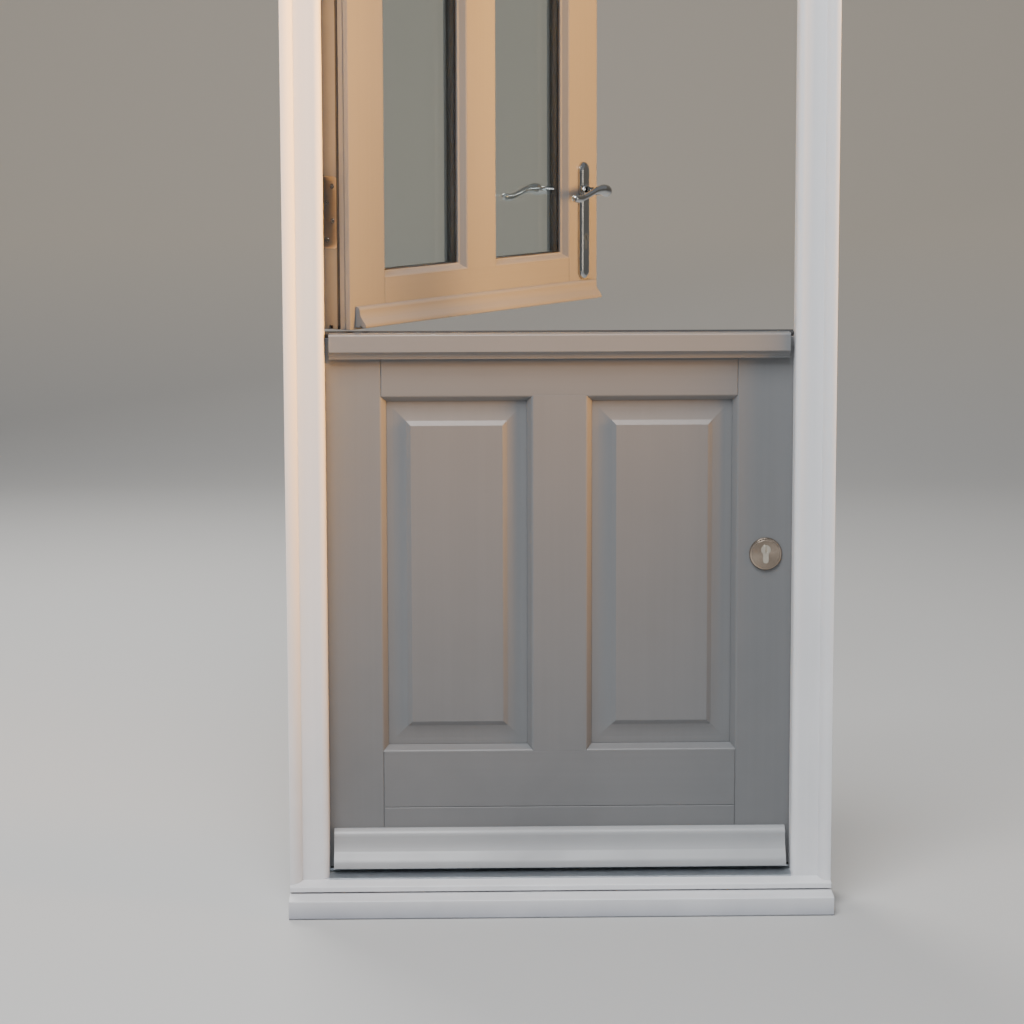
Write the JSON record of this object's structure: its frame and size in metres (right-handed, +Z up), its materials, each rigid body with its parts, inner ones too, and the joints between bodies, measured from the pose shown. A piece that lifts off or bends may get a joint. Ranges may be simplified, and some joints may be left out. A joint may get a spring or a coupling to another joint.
{
  "type": "stable door",
  "caption": "Timber stable door in its frame: a panelled lower leaf, closed, and a glazed upper leaf standing open into the room, with ledge, weatherboards and sill.",
  "frame": {"origin": "underside of the sub-sill, midway between the jambs, in the plane of the closed leaves' outside face", "axes": "+X to the right seen from outside, +Y into the building, +Z up"},
  "size_m": [0.956, 0.8635, 2.104],
  "materials": {
    "frame_paint": "satin paint",
    "leaf_paint": "satin paint",
    "bar_aluminium": "dulled",
    "seal_rubber": "matte",
    "hinge_steel": "satin",
    "lock_steel": "satin",
    "cylinder_nickel": "satin",
    "satin_steel": "brushed",
    "chrome": "polished",
    "glass": "clear",
    "spacer": "matte"
  },
  "bodies": {
    "frame": {"jamb_left": "frame_paint", "jamb_right": "frame_paint", "head": "frame_paint", "sill": "frame_paint", "sub_sill": "frame_paint", "weather_bar": "bar_aluminium", "cover_bead_left": "frame_paint", "cover_bead_right": "frame_paint", "cover_bead_head": "frame_paint", "frame_seals": "seal_rubber", "lower_hinge_jamb_flaps": "hinge_steel", "upper_hinge_jamb_flaps": "hinge_steel", "hinge_pins": "hinge_steel", "upper_keep": "lock_steel", "lower_keep": "lock_steel"},
    "lower_leaf": {"lower_hinge_stile": "leaf_paint", "lower_lock_stile": "leaf_paint", "lower_top_rail": "leaf_paint", "lower_mid_rail": "leaf_paint", "lower_base_rail": "leaf_paint", "lower_muntin": "leaf_paint", "panel_left": "leaf_paint", "panel_right": "leaf_paint", "ledge": "leaf_paint", "lower_weatherboard": "leaf_paint", "lower_leaf_seals": "seal_rubber", "lower_hinge_leaf_flaps": "hinge_steel", "lower_lock_case": "lock_steel", "lower_cylinder_body": "cylinder_nickel", "lower_escutcheon_outside": "satin_steel", "lower_escutcheon_inside": "satin_steel", "tie_bolt_keep": "chrome"},
    "upper_leaf": {"upper_hinge_stile": "leaf_paint", "upper_lock_stile": "leaf_paint", "upper_top_rail": "leaf_paint", "upper_base_rail": "leaf_paint", "upper_muntin": "leaf_paint", "glazing_beads": "leaf_paint", "glass_left": "glass", "glass_right": "glass", "glass_spacers": "spacer", "upper_weatherboard": "leaf_paint", "upper_leaf_seals": "seal_rubber", "upper_hinge_leaf_flaps": "hinge_steel", "upper_lock_case": "lock_steel", "upper_cylinder_body": "cylinder_nickel", "backplate_outside": "chrome", "backplate_inside": "chrome", "tie_bolt_body": "chrome"},
    "lower_bolt": {"lower_deadbolt": "lock_steel"},
    "lower_plug": {"lower_cylinder_plug": "cylinder_nickel"},
    "upper_bolt": {"upper_deadbolt": "lock_steel"},
    "upper_plug": {"upper_cylinder_plug": "cylinder_nickel"},
    "latch": {"latch_bolt": "lock_steel"},
    "levers": {"lever_outside": "chrome", "lever_inside": "chrome", "lever_spindle": "lock_steel"},
    "tie_bolt": {"tie_bolt_rod": "chrome"}
  },
  "joints": [
    {"name": "upper_leaf_swing", "type": "hinge", "parent": "frame", "child": "upper_leaf", "pos_m": [-0.4205, 0.064, 1.5335], "axis": [0, 0, 1], "range_deg": [-56, 44]},
    {"name": "lower_leaf_swing", "type": "hinge", "parent": "frame", "child": "lower_leaf", "pos_m": [-0.4205, 0.064, 0.54], "axis": [0, 0, 1], "range_deg": [0, 100]},
    {"name": "lever_turn", "type": "hinge", "parent": "upper_leaf", "child": "levers", "pos_m": [0.04762, 0.69453, 1.24], "axis": [0.829, -0.5592, 0], "range_deg": [0, 45], "stiffness_Nm_per_rad": 2, "springref_deg": -28.65},
    {"name": "latch_slide", "type": "slide", "parent": "upper_leaf", "child": "latch", "axis": [0.5592, 0.829, 0], "range_m": [-0.0112, 0]},
    {"name": "upper_plug_turn", "type": "hinge", "parent": "upper_leaf", "child": "upper_plug", "pos_m": [0.04762, 0.69453, 1.148], "axis": [0.829, -0.5592, 0], "range_deg": [0, 360]},
    {"name": "upper_bolt_slide", "type": "slide", "parent": "upper_leaf", "child": "upper_bolt", "axis": [0.5592, 0.829, 0], "range_m": [0, 0.02]},
    {"name": "lower_plug_turn", "type": "hinge", "parent": "lower_leaf", "child": "lower_plug", "pos_m": [0.364, 0.0285, 0.634], "axis": [0, -1, 0], "range_deg": [0, 360]},
    {"name": "lower_bolt_slide", "type": "slide", "parent": "lower_leaf", "child": "lower_bolt", "axis": [1, 0, 0], "range_m": [0, 0.02]},
    {"name": "tie_bolt_slide", "type": "slide", "parent": "upper_leaf", "child": "tie_bolt", "axis": [0, 0, -1], "range_m": [0, 0.03]}
  ],
  "couplings": [
    {"joint": "latch_slide", "follows": "lever_turn", "m_per_rad": -0.014},
    {"joint": "upper_plug_turn", "follows": "upper_bolt_slide", "rad_per_m": 314},
    {"joint": "lower_plug_turn", "follows": "lower_bolt_slide", "rad_per_m": 314}
  ]
}
